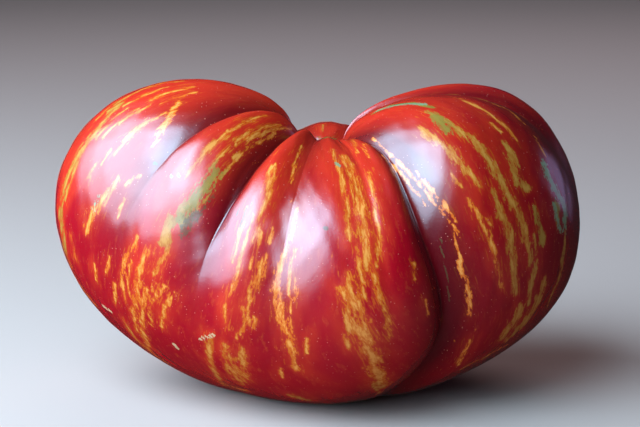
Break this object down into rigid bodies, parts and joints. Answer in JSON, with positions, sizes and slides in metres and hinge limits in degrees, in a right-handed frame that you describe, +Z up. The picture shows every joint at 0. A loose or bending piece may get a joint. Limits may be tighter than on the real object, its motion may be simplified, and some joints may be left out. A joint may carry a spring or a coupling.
{
  "type": "ribbed tomato",
  "caption": "Large ribbed heirloom tomato with two high shoulders, a low front and back, and a deep stem cavity, resting on its blossom end.",
  "frame": {"origin": "middle of the fruit's footprint, on the surface it rests on", "axes": "+X along the long way of the fruit towards the right shoulder, -Y the front where the middle lobe bulges, +Z up through the stem cavity"},
  "size_m": [0.129, 0.0948, 0.0779],
  "materials": {
    "skin": "satin crimson fruit skin with gold streaks"
  },
  "bodies": {
    "root": {"tomato": "skin"}
  },
  "joints": []
}
